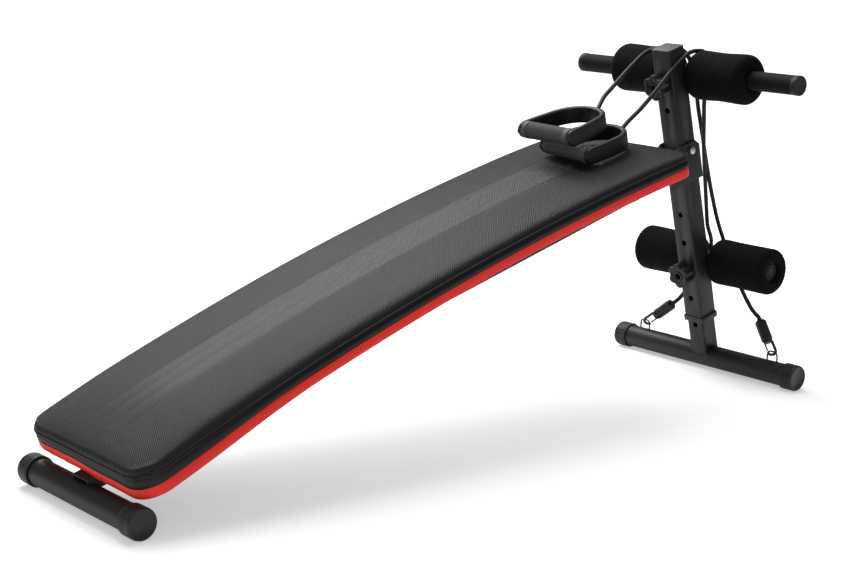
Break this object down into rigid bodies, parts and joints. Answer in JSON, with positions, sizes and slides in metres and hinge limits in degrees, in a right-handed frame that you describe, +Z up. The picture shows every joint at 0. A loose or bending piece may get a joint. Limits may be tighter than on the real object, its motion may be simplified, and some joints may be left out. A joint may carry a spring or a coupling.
{
  "type": "decline sit up bench",
  "caption": "Decline sit up bench with a curved padded board on a leaning telescopic post, foam leg rollers, star knobs and elastic pull cords with D handles",
  "frame": {"origin": "centre of the footprint of the overall box, on the floor", "axes": "+Y from the low front foot towards the upright post, +X to the right of someone looking along +Y, +Z up"},
  "size_m": [0.4888, 1.3679, 0.5965],
  "materials": {
    "paint": "satin charcoal enamel",
    "plastic": "moulded, faintly ribbed",
    "knob": "satin",
    "light_cap": "smooth grey",
    "foam": "closed-cell foam",
    "vinyl": "embossed vinyl over foam",
    "red_edge": "board core edged in red vinyl",
    "zinc": "zinc plated",
    "steel": "black oxide",
    "cord": "elastic tube",
    "handle": "satin moulded",
    "grip": "ribbed"
  },
  "bodies": {
    "base": {"rear_foot_tube": "paint", "rear_foot_cap_right": "plastic", "rear_foot_cap_left": "plastic", "inner_post": "paint", "eye_right": "steel", "eye_left": "steel", "hook_right": "steel", "hook_left": "steel", "hook_barrel_right": "plastic", "hook_barrel_left": "plastic", "cord_ferrule_right": "plastic", "cord_ferrule_left": "plastic"},
    "gate_right": {"hook_gate_right": "steel"},
    "gate_left": {"hook_gate_left": "steel"},
    "post": {"outer_post": "paint", "post_cap": "light_cap", "post_bush": "plastic", "top_bar": "paint", "top_bar_end_right": "light_cap", "top_bar_end_left": "light_cap", "lower_bar": "paint", "lower_bar_end_right": "light_cap", "lower_bar_end_left": "light_cap", "top_saddle": "plastic", "lower_saddle": "plastic", "top_clamp_bolt": "zinc", "lower_clamp_bolt": "zinc", "top_knob_washer": "zinc", "lower_knob_washer": "zinc", "pivot_bolt": "zinc", "pivot_nut": "zinc", "cord_a_front": "cord", "cord_a_rear": "cord", "cord_b_front": "cord", "cord_b_rear": "cord"},
    "top_knob": {"top_knob": "knob"},
    "lower_knob": {"lower_knob": "knob"},
    "top_foam_right": {"top_foam_right": "foam"},
    "top_foam_left": {"top_foam_left": "foam"},
    "lower_foam_right": {"lower_foam_right": "foam"},
    "lower_foam_left": {"lower_foam_left": "foam"},
    "board": {"front_foot_tube": "paint", "front_foot_cap_right": "plastic", "front_foot_cap_left": "plastic", "main_rail": "paint", "rear_bracket": "paint", "board_base": "red_edge", "pad": "vinyl", "front_board_bracket": "paint", "rear_board_support": "paint", "front_screw_right": "zinc", "front_screw_left": "zinc", "rear_screw_right": "zinc", "rear_screw_left": "zinc", "handle_a": "handle", "handle_b": "handle"},
    "grip_a": {"grip_a": "grip"},
    "grip_b": {"grip_b": "grip"}
  },
  "joints": [
    {"name": "height_adjust", "type": "slide", "parent": "base", "child": "post", "axis": [0, -0.2645, 0.9644], "range_m": [0, 0.1088]},
    {"name": "board_pivot", "type": "hinge", "parent": "post", "child": "board", "pos_m": [0, 0.54012, 0.4125], "axis": [1, 0, 0], "range_deg": [0, 5.3]},
    {"name": "top_knob_turn", "type": "hinge", "parent": "post", "child": "top_knob", "pos_m": [0, 0.47304, 0.52475], "axis": [0, -0.9644, -0.2645], "continuous": true},
    {"name": "lower_knob_turn", "type": "hinge", "parent": "post", "child": "lower_knob", "pos_m": [0, 0.56642, 0.18432], "axis": [0, -0.9644, -0.2645], "continuous": true},
    {"name": "top_foam_right_roll", "type": "hinge", "parent": "post", "child": "top_foam_right", "pos_m": [0.082, 0.5444, 0.54432], "axis": [1, 0, 0], "continuous": true},
    {"name": "top_foam_left_roll", "type": "hinge", "parent": "post", "child": "top_foam_left", "pos_m": [-0.082, 0.5444, 0.54432], "axis": [1, 0, 0], "continuous": true},
    {"name": "lower_foam_right_roll", "type": "hinge", "parent": "post", "child": "lower_foam_right", "pos_m": [0.083, 0.63779, 0.2039], "axis": [1, 0, 0], "continuous": true},
    {"name": "lower_foam_left_roll", "type": "hinge", "parent": "post", "child": "lower_foam_left", "pos_m": [-0.083, 0.63779, 0.2039], "axis": [1, 0, 0], "continuous": true},
    {"name": "grip_a_roll", "type": "hinge", "parent": "board", "child": "grip_a", "pos_m": [-0.0138, 0.2254, 0.4575], "axis": [0.999, -0.0439, -0.0096], "continuous": true},
    {"name": "grip_b_roll", "type": "hinge", "parent": "board", "child": "grip_b", "pos_m": [0.0078, 0.2518, 0.4309], "axis": [0.991, -0.1295, -0.034], "continuous": true},
    {"name": "gate_right_open", "type": "hinge", "parent": "base", "child": "gate_right", "pos_m": [0.13197, 0.64663, 0.07191], "axis": [0.5442, -0.5134, 0.6635], "range_deg": [0, 20], "stiffness_Nm_per_rad": 0.02, "springref_deg": -17.19},
    {"name": "gate_left_open", "type": "hinge", "parent": "base", "child": "gate_left", "pos_m": [-0.12743, 0.65579, 0.06665], "axis": [-0.5687, 0.7111, 0.4134], "range_deg": [0, 20], "stiffness_Nm_per_rad": 0.02, "springref_deg": -17.19}
  ],
  "couplings": [
    {"joint": "board_pivot", "follows": "height_adjust", "rad_per_m": 0.818}
  ]
}
